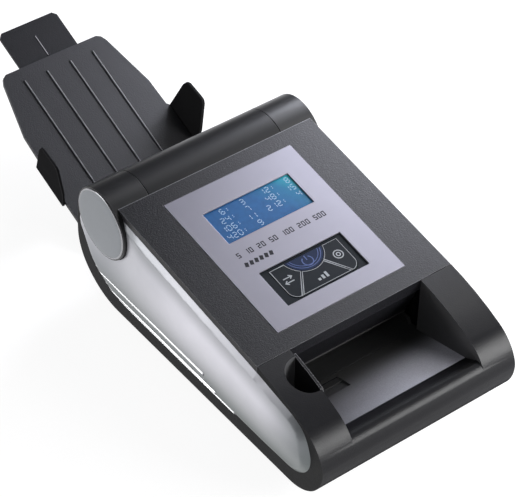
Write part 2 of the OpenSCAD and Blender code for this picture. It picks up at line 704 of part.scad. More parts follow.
module tray_plate() color([0.1, 0.1, 0.11]) place() {
    half_e = extension_w / 2;
    slide_h = -tray_t - ext_drop - ext_t;
    on_tray() {
        translate([0, 0, -tray_t]) linear_extrude(tray_t) tray_outline();
        both_sides() for (x = rib_x) slab(x - 0.45, x + 0.45, tray_start + 1, 131, 0, 0.6);
        // Rails and lips that hold the slide-out extension
        both_sides() slab(half_e + 0.3, half_e + 2.3, 60, tray_len - 6, slide_h - 0.3, -tray_t);
        both_sides() slab(half_e - 2.2, half_e + 2.3, 60, tray_len - 6, slide_h - 1.8, slide_h - 0.3);
    }
    difference() {
        both_sides() along_x(36.4, 42.4) {
            translate(tray_hinge) circle(4);
            polygon([[164, 10.97], [175.5, 4.6], [184, 5.6], [184, 3.4], [175.4, -0.6], [170, -0.2],
                [162, 3.9]]);
        }
        bar_x(tray_hinge, tray_pin_r + run_fit, -60, 60);
    }
}

module tray_fence() on_tray() translate([tray_w / 2 + 0.45, 0, 0]) rotate([0, fence_lean, 0])
    rotate([90, 0, 90]) linear_extrude(1.8)
    polygon([[51, -3], [52.6, 9], [60.2, 25.8], [62, 27.6], [64, 27.8], [75.6, 26.4], [77.8, 24.8],
        [79, 21], [79.9, -3]]);
module tray_fence_left() color([0.03, 0.03, 0.035]) place() mirror([1, 0, 0]) tray_fence();
module tray_fence_right() color([0.03, 0.03, 0.035]) place() tray_fence();

module tray_extension() color([0.06, 0.06, 0.065]) place() on_tray() {
    half_e = extension_w / 2;
    far = tray_len + extension_out;
    top = -tray_t - ext_drop;
    difference() {
        slab(-half_e, half_e, ext_start, far, top - ext_t, top);
        for (side = [-1, 1]) translate([side * half_e, far, 0]) rotate(45)
            cube([3.4, 3.4, 20], center = true);
    }
    slab(-0.5, 0.5, tray_len + 1.6, tray_len + 17, top, top + 0.2);
}

base_shell();
base_plate();
base_screws();
rubber_feet();
side_panel_left();
side_panel_right();
trim_strips_left();
trim_strips_right();
barrel_end_left();
barrel_end_right();
end_cap_left();
end_cap_right();
hinge_pin_left();
hinge_pin_right();
note_bed();
channel_rail();
main_board();
lower_sensor_bar();
dc_jack();
drive_motor();
motor_bracket();
shaft_bushes();
drive_belt();
rear_guide();
latch_magnets();
tray_pins();
note_guide();
lid_cover();
label_plate();
display_window();
display_module();
lid_board();
keypad_frame();
lid_guide();
magnetic_heads();
upper_sensor_bar();
strike_plates();
lid_screws();
key_left();
key_middle();
key_right();
key_power();
front_feed_shaft();
front_feed_rollers();
rear_feed_shaft();
rear_feed_rollers();
rear_shaft_gear();
idler_gear();
motor_pinion();
front_pinch_axle();
front_pinch_rollers();
rear_pinch_axle();
rear_pinch_rollers();
tray_plate();
tray_fence_left();
tray_fence_right();
tray_extension();
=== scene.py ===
"""Looks of a counterfeit note detector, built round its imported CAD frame.

Lengths are in metres, and in millimetres on the lid's and the tray's own planes. Places come from
the frame: a node's box, or a joint's position."""

import json
import math

import bmesh
import bpy
from mathutils import Matrix, Vector
from mathutils.bvhtree import BVHTree


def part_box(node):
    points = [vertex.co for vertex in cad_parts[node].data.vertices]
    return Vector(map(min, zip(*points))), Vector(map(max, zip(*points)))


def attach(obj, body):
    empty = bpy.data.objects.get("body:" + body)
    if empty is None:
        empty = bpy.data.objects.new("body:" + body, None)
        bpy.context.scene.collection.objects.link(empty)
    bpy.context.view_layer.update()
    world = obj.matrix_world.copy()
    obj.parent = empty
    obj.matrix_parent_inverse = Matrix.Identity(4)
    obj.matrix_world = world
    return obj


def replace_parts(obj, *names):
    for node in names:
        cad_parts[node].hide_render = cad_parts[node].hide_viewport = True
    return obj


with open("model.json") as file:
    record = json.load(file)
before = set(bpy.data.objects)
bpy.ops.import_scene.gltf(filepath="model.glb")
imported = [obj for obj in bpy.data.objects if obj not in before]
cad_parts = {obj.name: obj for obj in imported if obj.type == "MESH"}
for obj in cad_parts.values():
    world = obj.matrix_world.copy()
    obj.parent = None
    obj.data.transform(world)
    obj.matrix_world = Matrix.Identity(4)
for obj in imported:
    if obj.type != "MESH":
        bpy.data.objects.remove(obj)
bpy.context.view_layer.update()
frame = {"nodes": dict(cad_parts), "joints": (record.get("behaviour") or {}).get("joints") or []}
nodes = frame["nodes"]
joints = {j["name"]: j for j in frame["joints"]}

MM = 0.001
LID_SLOPE = math.radians(8.6)
TRAY_SLOPE = math.radians(22.4)
INLET_SLOPE = math.atan(0.2554)

hinge_at = Vector(joints["lid_hinge"]["pos_m"])
# The lid's front seam, in the middle of the case
seam_at = hinge_at - Vector((0, 134.1, 0.4)) * MM
SIDES = ((-1, "left"), (1, "right"))
# Planes in millimetres: x, distance up the slope, height above the face
LID = Matrix.Translation(seam_at) @ Matrix.Rotation(LID_SLOPE, 4, "X") @ Matrix.Scale(MM, 4)
tray_at = Vector(joints["tray_fold"]["pos_m"]) - Vector((0, 9.5, 13)) * MM
TRAY = Matrix.Translation(tray_at) @ Matrix.Rotation(TRAY_SLOPE, 4, "X") @ Matrix.Scale(MM, 4)


# ---- Materials ----

class Nodes:
    """A material's node tree, with short calls for the nodes that the materials below share."""

    def __init__(self, name):
        self.material = bpy.data.materials.new(name)
        self.material.use_nodes = True
        self.tree = self.material.node_tree
        self.shader = self.tree.nodes["Principled BSDF"]
        self.place = self.add("ShaderNodeTexCoord").outputs["Object"]

    def add(self, kind, **values):
        node = self.tree.nodes.new(kind)
        for key, value in values.items():
            setattr(node, key, value)
        return node

    def link(self, out, into):
        self.tree.links.new(out, into)

    def noise(self, size_mm, detail=3.0, stretch=(1, 1, 1)):
        """Noise with features about size_mm across, longer along an axis with a small stretch."""
        mapping = self.add("ShaderNodeMapping")
        mapping.inputs["Scale"].default_value = stretch
        self.link(self.place, mapping.inputs["Vector"])
        noise = self.add("ShaderNodeTexNoise")
        noise.inputs["Scale"].default_value = 1 / (size_mm * MM)
        noise.inputs["Detail"].default_value = detail
        self.link(mapping.outputs["Vector"], noise.inputs["Vector"])
        return noise.outputs["Fac"]

    def ramp(self, value, stops):
        """Colours at positions along a value from 0 to 1."""
        ramp = self.add("ShaderNodeValToRGB")
        elements = ramp.color_ramp.elements
        while len(elements) < len(stops):
            elements.new(0.5)
        for element, (position, colour) in zip(elements, stops):
            element.position = position
            element.color = (*colour[:3], 1)
        self.link(value, ramp.inputs["Fac"])
        return ramp.outputs["Color"]

    def fade(self, value, start, stop, low=0.0, high=1.0, curve="LINEAR"):
        """Runs from low to high while the value runs from start to stop."""
        mapped = self.add("ShaderNodeMapRange", interpolation_type=curve)
        for socket, number in (("From Min", start), ("From Max", stop), ("To Min", low),
                               ("To Max", high)):
            mapped.inputs[socket].default_value = number
        self.link(value, mapped.inputs["Value"])
        return mapped.outputs["Result"]

    def spread(self, value, low, high):
        """Maps the middle of a noise, 0.3 to 0.7, to low and high."""
        return self.fade(value, 0.3, 0.7, low, high)

    def axes(self):
        """The shaded point's X, Y and Z."""
        split = self.add("ShaderNodeSeparateXYZ")
        self.link(self.place, split.inputs["Vector"])
        return split.outputs

    def off_hinge(self):
        """The shaded point's distance from the barrel's axis."""
        flat = self.add("ShaderNodeVectorMath", operation="MULTIPLY")
        flat.inputs[1].default_value = (0, 1, 1)
        self.link(self.place, flat.inputs[0])
        apart = self.add("ShaderNodeVectorMath", operation="DISTANCE")
        apart.inputs[1].default_value = (0, hinge_at.y, hinge_at.z)
        self.link(flat.outputs["Vector"], apart.inputs[0])
        return apart.outputs["Value"]

    def mix(self, factor, a, b):
        """Colour a where the factor is 0 and b where it is 1. Each is a socket or a colour."""
        mixed = self.add("ShaderNodeMix", data_type="RGBA")
        for name, value in (("A", a), ("B", b)):
            socket = next(s for s in mixed.inputs if s.name == name and s.type == "RGBA")
            if isinstance(value, tuple):
                socket.default_value = (*value, 1)
            else:
                self.link(value, socket)
        self.link(factor, mixed.inputs["Factor"])
        return next(s for s in mixed.outputs if s.type == "RGBA")

    def maths(self, operation, a, b=0.0):
        node = self.add("ShaderNodeMath", operation=operation)
        for socket, value in zip(node.inputs, (a, b)):
            if isinstance(value, (int, float)):
                socket.default_value = value
            else:
                self.link(value, socket)
        return node.outputs["Value"]

    def edge_wear_and_highlight(self, radius_mm):
        """0 on flat faces, rising to 1 on an edge: the mask for rubbed wear and for a painted edge
        highlight.
        """
        bevel = self.add("ShaderNodeBevel", samples=4)
        bevel.inputs["Radius"].default_value = radius_mm * MM
        flat = self.add("ShaderNodeNewGeometry").outputs["Normal"]
        dot = self.add("ShaderNodeVectorMath", operation="DOT_PRODUCT")
        self.link(bevel.outputs["Normal"], dot.inputs[0])
        self.link(flat, dot.inputs[1])
        off = self.maths("SUBTRACT", 1.0, dot.outputs["Value"])
        return self.maths("MINIMUM", self.maths("MULTIPLY", off, 6.0), 1.0)

    def bump(self, *layers):
        """Stacks (height, depth in mm) layers into one normal."""
        normal = None
        for height, depth_mm in layers:
            bump = self.add("ShaderNodeBump")
            bump.inputs["Distance"].default_value = depth_mm * MM
            self.link(height, bump.inputs["Height"])
            if normal:
                self.link(normal, bump.inputs["Normal"])
            normal = bump.outputs["Normal"]
        self.link(normal, self.shader.inputs["Normal"])

    def set(self, **values):
        for key, value in values.items():
            self.shader.inputs[key.replace("_", " ")].default_value = value


def shade(colour, factor):
    return tuple(c * factor for c in colour)


def moulded(name, colour, rough, grain_mm=0.5, grain_depth=0.02, tone=0.12, wear_and_highlight=0.0, worn_and_lit_colour=None,
            matt_below=0, **sockets):
    """Moulded plastic or rubber: fine grain, uneven sheen, and paler edges that are rubbed wear and
    a painted edge highlight.
    """
    n = Nodes(name)
    cloud = n.noise(14)
    grain = n.noise(grain_mm, detail=2)
    n.set(**sockets)
    body = n.ramp(cloud, [(0.3, shade(colour, 1 - tone / 2)), (0.7, shade(colour, 1 + tone / 2))])
    body = n.mix(n.spread(grain, 0.0, 0.5), body, shade(colour, 1 - 2 * tone))
    # Paler edges: partly rubbed wear, partly a painted edge highlight
    if wear_and_highlight:
        body = n.mix(n.maths("MULTIPLY", n.edge_wear_and_highlight(0.5), wear_and_highlight), body, worn_and_lit_colour or shade(colour, 3.2))
    n.link(body, n.shader.inputs["Base Color"])
    n.link(n.spread(n.noise(5), rough - 0.02, rough + 0.02), n.shader.inputs["Roughness"])
    if matt_below:
        # Scuffed matt towards the table, up to a height in mm
        gloss = n.fade(n.axes()["Z"], 0.4 * matt_below * MM, matt_below * MM,
                       high=sockets["Specular_IOR_Level"], curve="SMOOTHSTEP")
        n.link(gloss, n.shader.inputs["Specular IOR Level"])
    n.bump((grain, grain_depth))
    return n.material


def metal(name, colour, rough, brushed=(1, 1, 1), wear_and_highlight=0.0, **sockets):
    """Bare or painted metal with fine brushing along one axis, and bright edges that are rubbed
    wear and a painted highlight.
    """
    n = Nodes(name)
    n.set(**sockets)
    lines = n.noise(0.5, detail=4, stretch=brushed)
    body = n.ramp(n.noise(9), [(0.3, shade(colour, 0.985)), (0.7, shade(colour, 1.015))])
    # Bright edges: partly rubbed wear, mostly a painted edge highlight
    if wear_and_highlight:
        body = n.mix(n.maths("MULTIPLY", n.edge_wear_and_highlight(0.7), wear_and_highlight), body, (0.9, 0.9, 0.92))
    n.link(body, n.shader.inputs["Base Color"])
    n.link(n.spread(lines, rough - 0.03, rough + 0.03), n.shader.inputs["Roughness"])
    n.bump((lines, 0.001))
    return n.material


def lid_material():
    """Spark-textured charcoal on the lid's plate, with a painted highlight along its edges, and
    smoother black on its part of the barrel.
    """
    n = Nodes("lid_charcoal")
    n.set(Specular_IOR_Level=0.30)
    on_plate = n.maths("GREATER_THAN", n.off_hinge(), 21.8 * MM)
    grain = n.noise(0.8, detail=2)
    spark = n.noise(1.1, detail=2)
    plate = n.mix(n.spread(spark, 0, 1), (0.006, 0.006, 0.0075), (0.0145, 0.0145, 0.018))
    plate = n.mix(n.spread(n.noise(20), 0, 0.5), plate, (0.010, 0.010, 0.012))
    # Painted highlight: the plate's edges are paled towards grey
    plate = n.mix(n.maths("MULTIPLY", n.edge_wear_and_highlight(0.5), 0.6), plate, (0.30, 0.30, 0.32))
    n.link(n.mix(on_plate, (0.012, 0.012, 0.013), plate), n.shader.inputs["Base Color"])
    n.link(n.fade(on_plate, 0, 1, 0.36, 0.37), n.shader.inputs["Roughness"])
    n.bump((n.maths("MULTIPLY", grain, on_plate), 0.13), (n.noise(0.5, detail=2), 0.008))
    return n.material


def display_material():
    """Backlit blue, turning cyan towards the lamp in the far right corner."""
    n = Nodes("display_blue")
    n.set(Roughness=0.25, Specular_IOR_Level=0.25, Coat_Weight=0.15, Coat_Roughness=0.1)
    low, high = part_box("display_window")
    axes = n.axes()
    corner = n.maths("ADD", n.maths("MULTIPLY", n.fade(axes["X"], low.x, high.x), 0.75),
                     n.maths("MULTIPLY", n.fade(axes["Y"], low.y, high.y), 0.25))
    glow = n.ramp(corner, [(0.0, (0.004, 0.060, 0.19)), (0.6, (0.004, 0.070, 0.21)),
                           (0.82, (0.002, 0.12, 0.24)), (0.95, (0.0, 0.28, 0.34))])
    glow = n.mix(n.spread(n.noise(3), 0, 0.12), glow, (0.02, 0.22, 0.55))
    n.link(glow, n.shader.inputs["Base Color"])
    n.link(glow, n.shader.inputs["Emission Color"])
    n.set(Emission_Strength=0.07)
    n.bump((n.noise(0.3), 0.001))
    return n.material


def board_material(node, board_top):
    """Green lacquer up to the board's top face, and black packages above it."""
    n = Nodes(node + "_lacquer")
    n.set(Coat_Weight=0.3, Coat_Roughness=0.15)
    above = n.maths("GREATER_THAN", n.axes()["Z"], board_top)
    tracks = n.ramp(n.noise(2.4, detail=1, stretch=(0.25, 1, 1)),
                    [(0.46, (0.010, 0.085, 0.035)), (0.5, (0.02, 0.15, 0.06))])
    n.link(n.mix(above, tracks, (0.025, 0.025, 0.028)), n.shader.inputs["Base Color"])
    n.link(n.spread(n.noise(4), 0.3, 0.5), n.shader.inputs["Roughness"])
    n.bump((n.noise(0.8), 0.02))
    return n.material


def panel_material():
    """Silver lacquer, with painted shade that greys it low down, at the front tip, under the lid
    and round the barrel.
    """
    n = Nodes("silver_panel")
    n.set(Metallic=0.55, Coat_Weight=0.3, Coat_Roughness=0.16)
    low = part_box("side_panel_left")[0]
    tip = low.y - 4 * MM
    axes = n.axes()
    run = n.maths("MULTIPLY", n.maths("SUBTRACT", axes["Y"], seam_at.y), math.tan(LID_SLOPE))
    under_lid = n.maths("ADD", n.maths("SUBTRACT", seam_at.z, axes["Z"]), run)
    # Painted shade: the colour darkens towards the bottom, the front tip, under the lid's edge and
    # round the barrel
    light = n.fade(axes["Z"], low.z, low.z + 38 * MM, curve="SMOOTHSTEP")
    for value, start, stop, least in ((axes["Y"], tip, tip + 44 * MM, 0.15),
                                      (under_lid, 7 * MM, 18 * MM, 0.55),
                                      (n.off_hinge(), 18 * MM, 90 * MM, 0.58)):
        light = n.maths("MULTIPLY", light, n.fade(value, start, stop, least, curve="SMOOTHSTEP"))
    paint = n.ramp(n.noise(9), [(0.3, (0.79, 0.78, 0.85)), (0.7, (0.82, 0.81, 0.88))])
    n.link(n.mix(light, (0.08, 0.10, 0.10), paint), n.shader.inputs["Base Color"])
    flake = n.noise(0.5, detail=4)
    n.link(n.spread(flake, 0.31, 0.37), n.shader.inputs["Roughness"])
    n.bump((flake, 0.001))
    return n.material


def inlet_material():
    """The inlet's floor: the case's black, with a painted pool of light that pales it towards the
    front and right, and painted shadow under the lid's edge.
    """
    n = Nodes("inlet_floor")
    axes = n.axes()
    # Painted light: paler towards the front and the right, fading to black as painted shadow under
    # the lid
    depth = n.fade(axes["Y"], seam_at.y - 2 * MM, seam_at.y - 30 * MM, curve="SMOOTHERSTEP")
    painted_light = n.maths("MULTIPLY", depth, n.fade(axes["X"], -60 * MM, 42 * MM))
    grain = n.noise(0.7, detail=2)
    lit_colour = n.mix(n.spread(grain, 0, 1), (0.48, 0.48, 0.55), (0.60, 0.60, 0.68))
    n.link(n.mix(painted_light, (0.03, 0.03, 0.03), lit_colour), n.shader.inputs["Base Color"])
    n.link(n.spread(n.noise(5), 0.42, 0.5), n.shader.inputs["Roughness"])
    n.bump((grain, 0.04))
    return n.material


BLACK = (0.010, 0.010, 0.011)
material = {
    "lid": lid_material(),
    "shell": moulded("case_black", (0.010, 0.010, 0.012), 0.34, 0.7, 0.06, wear_and_highlight=0.12,
                     matt_below=44, Specular_IOR_Level=0.27),
    "inlet": inlet_material(),
    "rim": moulded("rim_texture", (0.014, 0.014, 0.015), 0.55, 0.9, 0.10, wear_and_highlight=0.5,
                   Specular_IOR_Level=0.10),
    "barrel": moulded("barrel_black", BLACK, 0.36, 0.5, 0.008, wear_and_highlight=0.25),
    "under": moulded("under_black", (0.028, 0.028, 0.030), 0.6, 0.8, 0.03),
    # Black plastic, lifted a little paler than the case's as painted light in the dark space under
    # the lid
    "inner": moulded("inner_black", (0.030, 0.030, 0.031), 0.6, 0.5, 0.02, Specular_IOR_Level=0.1),
    # Paler than the case's black as painted light, in the finger scoop and on the inlet's side
    # walls
    "scoop": moulded("scoop_painted_light", (0.09, 0.09, 0.094), 0.4, 0.6, 0.01),
    # A little darker than the tray's charcoal: painted shade for the extension's lower place
    "extension": moulded("extension_charcoal", (0.0115, 0.0115, 0.0135), 0.5, 0.8, 0.08,
                         Specular_IOR_Level=0.18),
    "panel": panel_material(),
    # The cap's bright rim is a painted highlight
    "cap": metal("silver_cap", (0.225, 0.24, 0.26), 0.40, Metallic=0.5, Coat_Weight=0.2,
                 Coat_Roughness=0.2, wear_and_highlight=0.8),
    "edge": metal("cap_edge", (0.36, 0.36, 0.38), 0.25, Metallic=0.85),
    # Grey for the painted shadow strips under the ledges
    "ledge_shadow": metal("ledge_painted_shadow", (0.16, 0.16, 0.18), 0.5, Metallic=0.4),
    "trim": metal("bright_trim", (0.84, 0.84, 0.86), 0.36, Metallic=0.5),
    "label": metal("label_silver", (0.215, 0.21, 0.25), 0.35, (0.06, 1, 1), Metallic=0.5,
                   Coat_Weight=0.15, Coat_Roughness=0.3),
    "ink": moulded("label_ink", (0.008, 0.008, 0.012), 0.6, 0.4, 0.002, Specular_IOR_Level=0.2),
    "display": display_material(),
    "dots": moulded("display_dots", (0.32, 0.50, 0.66), 0.5, 0.5, 0.001),
    "key": moulded("key_slate", (0.010, 0.013, 0.017), 0.42, 0.4, 0.006, Specular_IOR_Level=0.08),
    "line": moulded("key_line", (0.30, 0.32, 0.34), 0.5, 0.4, 0.002),
    "key_blue": moulded("key_blue", (0.006, 0.015, 0.050), 0.35, 0.4, 0.004,
                        Specular_IOR_Level=0.12),
    "key_light": moulded("key_light", (0.03, 0.07, 0.24), 0.4, 0.4, 0.002),
    "rubber": moulded("rubber", (0.035, 0.035, 0.036), 0.75, 0.4, 0.04),
    "steel": metal("steel", (0.62, 0.62, 0.64), 0.28, (0.1, 1, 1), Metallic=1.0),
    "brass": metal("brass", (0.66, 0.48, 0.20), 0.3, (1, 1, 0.1), Metallic=1.0),
    "nylon": moulded("gear_nylon", (0.72, 0.70, 0.63), 0.5, 0.6, 0.01, 0.05),
    "sensor": moulded("sensor_dark", (0.020, 0.010, 0.022), 0.12, 0.6, 0.001),
    "dark": moulded("display_dark", (0.03, 0.032, 0.038), 0.5),
    "tray": moulded("tray_charcoal", (0.015, 0.015, 0.018), 0.48, 0.8, 0.09, wear_and_highlight=0.35,
                    Specular_IOR_Level=0.36),
    # Pale strips on the ribs' tops: painted highlight
    "crest_highlight": moulded("rib_painted_highlight", (0.34, 0.34, 0.36), 0.32, 0.6, 0.01),
    # Fences: no reflection, and their pale edge colour is a painted highlight
    "fence": moulded("fence_black", (0.017, 0.017, 0.018), 0.34, 0.5, 0.006, wear_and_highlight=0.5,
                     worn_and_lit_colour=(0.30, 0.30, 0.31), Specular_IOR_Level=0.0),
    # The guide's pale edges are a painted highlight
    "guide": moulded("guide_black", (0.014, 0.014, 0.016), 0.4, 0.5, 0.006, wear_and_highlight=0.8,
                     worn_and_lit_colour=(0.42, 0.42, 0.44), Specular_IOR_Level=0.2),
    "main_board": board_material("main_board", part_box("main_board")[0].z + 1.65 * MM),
    "lid_board": board_material("lid_board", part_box("lid_board")[1].z),
}


# ---- Meshes ----

def smooth_group():
    """Geometry nodes that shade a mesh smooth, but leave its edges over 32 degrees sharp."""
    group = bpy.data.node_groups.new("smooth_by_angle", "GeometryNodeTree")
    group.interface.new_socket("Geometry", in_out="INPUT", socket_type="NodeSocketGeometry")
    group.interface.new_socket("Geometry", in_out="OUTPUT", socket_type="NodeSocketGeometry")
    start = group.nodes.new("NodeGroupInput")
    end = group.nodes.new("NodeGroupOutput")
    faces = group.nodes.new("GeometryNodeSetShadeSmooth")
    edges = group.nodes.new("GeometryNodeSetShadeSmooth")
    edges.domain = "EDGE"
    edges.inputs["Shade Smooth"].default_value = False
    angle = group.nodes.new("GeometryNodeInputMeshEdgeAngle")
    sharp = group.nodes.new("ShaderNodeMath")
    sharp.operation = "GREATER_THAN"
    sharp.inputs[1].default_value = math.radians(32)
    group.links.new(angle.outputs["Unsigned Angle"], sharp.inputs[0])
    group.links.new(sharp.outputs["Value"], edges.inputs["Selection"])
    group.links.new(start.outputs["Geometry"], faces.inputs["Geometry"])
    group.links.new(faces.outputs["Geometry"], edges.inputs["Geometry"])
    group.links.new(edges.outputs["Geometry"], end.inputs["Geometry"])
    return group


SMOOTH = smooth_group()


def finish_edges(piece, bevel_mm, merge=False):
    """Welds a mesh, rounds its edges and shades it, all with modifiers."""
    if merge:
        weld = piece.modifiers.new("weld", "WELD")
        weld.merge_threshold = 0.002 * MM
        flatten = piece.modifiers.new("flatten", "DECIMATE")
        flatten.decimate_type = "DISSOLVE"
        flatten.angle_limit = math.radians(0.4)
    if bevel_mm:
        bevel = piece.modifiers.new("edges", "BEVEL")
        bevel.width = bevel_mm * MM
        bevel.segments = 3
        bevel.limit_method = "ANGLE"
        bevel.angle_limit = math.radians(35)
        bevel.miter_outer = "MITER_ARC"
        bevel.harden_normals = False
    smooth = piece.modifiers.new("smooth", "NODES")
    smooth.node_group = SMOOTH
    weighted = piece.modifiers.new("weighted", "WEIGHTED_NORMAL")
    weighted.keep_sharp = True


def dress(node, name, bevel_mm=0.0):
    """Gives a CAD node its material and rounded edges."""
    piece = nodes[node]
    piece.data.materials.clear()
    piece.data.materials.append(material[name])
    finish_edges(piece, bevel_mm, merge=True)


def make(name, bm, body, look, matrix=None, bevel_mm=0.0):
    """Turns a bmesh into a piece that rides on a body."""
    bmesh.ops.recalc_face_normals(bm, faces=bm.faces)
    mesh = bpy.data.meshes.new(name)
    bm.to_mesh(mesh)
    bm.free()
    if matrix:
        mesh.transform(matrix)
    mesh.materials.append(material[look])
    piece = bpy.data.objects.new(name, mesh)
    bpy.context.scene.collection.objects.link(piece)
    finish_edges(piece, bevel_mm)
    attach(piece, body)
    return piece


def lathe(bm, profile, steps=96):
    """Turns a closed (radius, x) profile about the X axis."""
    rings = []
    for k in range(steps):
        a = 2 * math.pi * k / steps
        rings.append([bm.verts.new((x, r * math.cos(a), r * math.sin(a))) for r, x in profile])
    for k in range(steps):
        here, there = rings[k], rings[(k + 1) % steps]
        for i in range(len(profile)):
            j = (i + 1) % len(profile)
            bm.faces.new((here[i], here[j], there[j], there[i]))
    bmesh.ops.remove_doubles(bm, verts=bm.verts, dist=1e-7)


def ribbon(bm, points, width, low, high, closed=False):
    """A raised line of even width along flat (x, y) points, from height low to high."""
    count = len(points)
    rows = []
    for i, point in enumerate(points):
        before = points[i - 1] if closed or i else point
        after = points[(i + 1) % count] if closed or i < count - 1 else point
        ahead = (Vector(after) - Vector(before)).normalized()
        into = (Vector(point) - Vector(before)).normalized() if before != point else ahead
        stretch = 1 / max(0.5, abs(into.dot(ahead)))
        side = Vector((-ahead.y, ahead.x)) * width / 2 * stretch
        rows.append([bm.verts.new((point[0] + s * side.x, point[1] + s * side.y, h))
                     for s, h in ((1, low), (1, high), (-1, high), (-1, low))])
    for i in range(count if closed else count - 1):
        here, there = rows[i], rows[(i + 1) % count]
        for k in range(4):
            bm.faces.new((here[k], here[(k + 1) % 4], there[(k + 1) % 4], there[k]))
    if not closed:
        bm.faces.new(rows[0])
        bm.faces.new(rows[-1])


def block(bm, low, high):
    """A box between two corners."""
    made = bmesh.ops.create_cube(bm, size=1)["verts"]
    size = Vector(high) - Vector(low)
    for v in made:
        v.co = Vector(low) + Vector((v.co[i] + 0.5) * size[i] for i in range(3))


def arc(centre, radius, start, end, steps=24):
    """Points on an arc, in degrees from the +x axis."""
    angles = [math.radians(start + (end - start) * k / steps) for k in range(steps + 1)]
    return [(centre[0] + radius * math.cos(a), centre[1] + radius * math.sin(a)) for a in angles]


def walk_rim(bm):
    """The vertices round a mesh's open edge, in order."""
    rim = [e for e in bm.edges if len(e.link_faces) == 1]
    vert, edge = rim[0].verts[0], rim[0]
    corners = []
    while True:
        corners.append(vert)
        vert = edge.other_vert(vert)
        edge = next(e for e in vert.link_edges if e is not edge and len(e.link_faces) == 1)
        if edge is rim[0]:
            return corners


def outline_at(node, x):
    """The (y, z) points round a CAD node's flat face at x, in order."""
    bm = bmesh.new()
    bm.from_mesh(nodes[node].data)
    bmesh.ops.remove_doubles(bm, verts=bm.verts, dist=0.002 * MM)
    away = [f for f in bm.faces if any(abs(v.co.x - x) > 0.01 * MM for v in f.verts)]
    bmesh.ops.delete(bm, geom=away, context="FACES")
    points = [(v.co.y, v.co.z) for v in walk_rim(bm)]
    bm.free()
    return points


def distance_to(point, points):
    """Shortest distance from a (y, z) point to a line through points."""
    best = 1.0
    p = Vector(point)
    for a, b in zip(points, points[1:]):
        a = Vector(a)
        ab = Vector(b) - a
        t = max(0.0, min(1.0, (p - a).dot(ab) / max(ab.length_squared, 1e-12)))
        best = min(best, (p - a - ab * t).length)
    return best


# ---- CAD nodes that keep their shape ----

for node, look, bevel in (
        ("base_shell", "shell", 0.5), ("base_plate", "under", 0.3), ("base_screws", "steel", 0.2),
        ("rubber_feet", "rubber", 0.5), ("barrel_end_left", "barrel", 0.3),
        ("barrel_end_right", "barrel", 0.3), ("hinge_pin_left", "steel", 0.2),
        ("hinge_pin_right", "steel", 0.2), ("note_bed", "inner", 0.2),
        ("channel_rail", "inner", 0.15), ("main_board", "main_board", 0.1),
        ("lower_sensor_bar", "sensor", 0.2), ("dc_jack", "under", 0.3),
        ("drive_motor", "steel", 0.4), ("motor_bracket", "steel", 0.1),
        ("shaft_bushes", "brass", 0.1), ("drive_belt", "rubber", 0.1),
        ("rear_guide", "inner", 0.2), ("latch_magnets", "steel", 0.2), ("tray_pins", "steel", 0.2),
        ("note_guide", "guide", 0.4), ("lid_cover", "lid", 0.45), ("label_plate", "label", 0.2),
        ("display_window", "display", 0.1), ("display_module", "dark", 0.2),
        ("lid_board", "lid_board", 0.1), ("keypad_frame", "key", 0.1), ("lid_guide", "inner", 0.2),
        ("magnetic_heads", "steel", 0.2), ("upper_sensor_bar", "sensor", 0.2),
        ("strike_plates", "steel", 0.2), ("lid_screws", "steel", 0.15), ("key_left", "key", 0.15),
        ("key_middle", "key", 0.15), ("key_right", "key", 0.15), ("key_power", "key_blue", 0.15),
        ("front_feed_shaft", "steel", 0.1), ("front_feed_rollers", "rubber", 0.3),
        ("rear_feed_shaft", "steel", 0.1), ("rear_feed_rollers", "rubber", 0.3),
        ("rear_shaft_gear", "nylon", 0.0), ("idler_gear", "nylon", 0.0),
        ("motor_pinion", "brass", 0.0), ("front_pinch_axle", "steel", 0.1),
        ("front_pinch_rollers", "rubber", 0.3), ("rear_pinch_axle", "steel", 0.1),
        ("rear_pinch_rollers", "rubber", 0.3), ("tray_plate", "tray", 0.3),
        ("tray_fence_left", "fence", 0.5), ("tray_fence_right", "fence", 0.5),
        ("tray_extension", "extension", 0.3)):
    dress(node, look, bevel)


# The case's own faces, by where they are and which way they look
shell = nodes["base_shell"]
for look in ("inlet", "rim", "scoop"):
    shell.data.materials.append(material[look])
INLET, RIM, SCOOP = 1, 2, 3
scoop_at = seam_at - Vector((45, 15.5, 0)) * MM
inlet_normal = Vector((0, math.sin(INLET_SLOPE), math.cos(INLET_SLOPE)))
for face in shell.data.polygons:
    off_seam = face.center.y - seam_at.y
    sideways = abs(face.normal.x) > 0.95
    off_middle = abs(face.center.x)
    if (off_seam < 6 * MM and face.center.z < 38 * MM
            and face.normal.dot(inlet_normal) > 0.9999):
        face.material_index = INLET
    elif sideways and off_middle > 60 * MM:
        face.material_index = RIM
    elif face.normal.z > 0.96 and -50 * MM < off_seam < -45 * MM:
        face.material_index = RIM
    elif (face.center - scoop_at).xy.length < 11.2 * MM and seam_at.z > face.center.z > 29 * MM:
        face.material_index = SCOOP
    elif sideways and off_middle < 44 * MM and off_seam < 6 * MM:
        face.material_index = SCOOP


# ---- Silver side panels with their bright ledges ----

# Width of the chamfer round the edge, how far it stands out, and the crown's height over it
EDGE_W = 3.9 * MM
EDGE_OUT = 2.0 * MM
CROWN = 2.6 * MM
BARREL_EDGE = 22 * MM
BARREL_CUT = 21.9 * MM
panel_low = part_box("side_panel_right")[0]


def limit(value):
    return min(max(value, 0), 1)


def lid_edge_z(y):
    return seam_at.z + (y - seam_at.y) * math.tan(LID_SLOPE)


def off_axis(y, z):
    """Distance of a (y, z) point from the barrel's axis."""
    return math.hypot(y - hinge_at.y, z - hinge_at.z)


